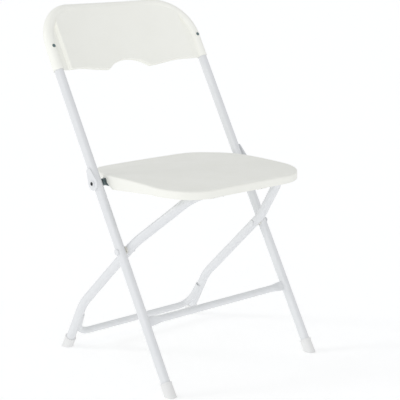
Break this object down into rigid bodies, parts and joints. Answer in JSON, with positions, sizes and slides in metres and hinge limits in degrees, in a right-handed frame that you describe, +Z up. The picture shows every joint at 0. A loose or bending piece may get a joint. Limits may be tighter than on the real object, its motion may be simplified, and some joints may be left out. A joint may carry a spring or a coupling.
{
  "type": "folding chair",
  "caption": "Folding chair with a bent steel tube frame, a moulded back panel with a hand-hold, and a moulded seat that swings up between the posts.",
  "frame": {"origin": "on the floor, under the middle of the opened chair's bounding box", "axes": "+X to the sitter's left-hand side seen from the front (viewer's right), +Y from the front of the chair to its back, +Z up"},
  "size_m": [0.4562, 0.5113, 0.7942],
  "materials": {
    "frame_paint": "satin white powder coat",
    "back_plastic": "fine textured warm white moulded polypropylene",
    "seat_plastic": "fine textured warm white moulded polypropylene",
    "foot_plastic": "soft grey-white moulded plastic boot",
    "bush_nylon": "natural nylon",
    "bracket_steel": "zinc-plated pressed sheet",
    "fastener_steel": "zinc-plated rivet or screw"
  },
  "bodies": {
    "front_frame": {"front_frame_tube": "frame_paint", "front_crossbar": "frame_paint", "backrest": "back_plastic", "backrest_screws": "fastener_steel", "hinge_plate_left": "frame_paint", "hinge_plate_right": "frame_paint", "seat_rivet_left": "fastener_steel", "seat_rivet_right": "fastener_steel", "leg_rivet_left": "fastener_steel", "leg_rivet_right": "fastener_steel", "leg_washer_left": "bush_nylon", "leg_washer_right": "bush_nylon", "front_foot_left": "foot_plastic", "front_foot_right": "foot_plastic"},
    "rear_frame": {"rear_frame_tube": "frame_paint", "rear_brace": "frame_paint", "slide_bush_left": "bush_nylon", "slide_bush_right": "bush_nylon", "rear_foot_left": "foot_plastic", "rear_foot_right": "foot_plastic"},
    "seat": {"seat_shell": "seat_plastic", "seat_bracket_left": "bracket_steel", "seat_bracket_right": "bracket_steel", "seat_bracket_screws": "fastener_steel", "seat_bush_left": "bush_nylon", "seat_bush_right": "bush_nylon", "slide_rail_left": "bracket_steel", "slide_rail_right": "bracket_steel", "slide_rail_screws": "fastener_steel"}
  },
  "joints": [
    {"name": "rear_frame_fold", "type": "hinge", "parent": "front_frame", "child": "rear_frame", "pos_m": [0, -0.07537, 0.28449], "axis": [-1, 0, 0], "range_deg": [0, 69.5]},
    {"name": "seat_fold", "type": "hinge", "parent": "front_frame", "child": "seat", "pos_m": [0, 0.00468, 0.42314], "axis": [-1, 0, 0], "range_deg": [0, 119.4]}
  ],
  "couplings": [
    {"joint": "seat_fold", "follows": "rear_frame_fold", "ratio": 1.717}
  ]
}
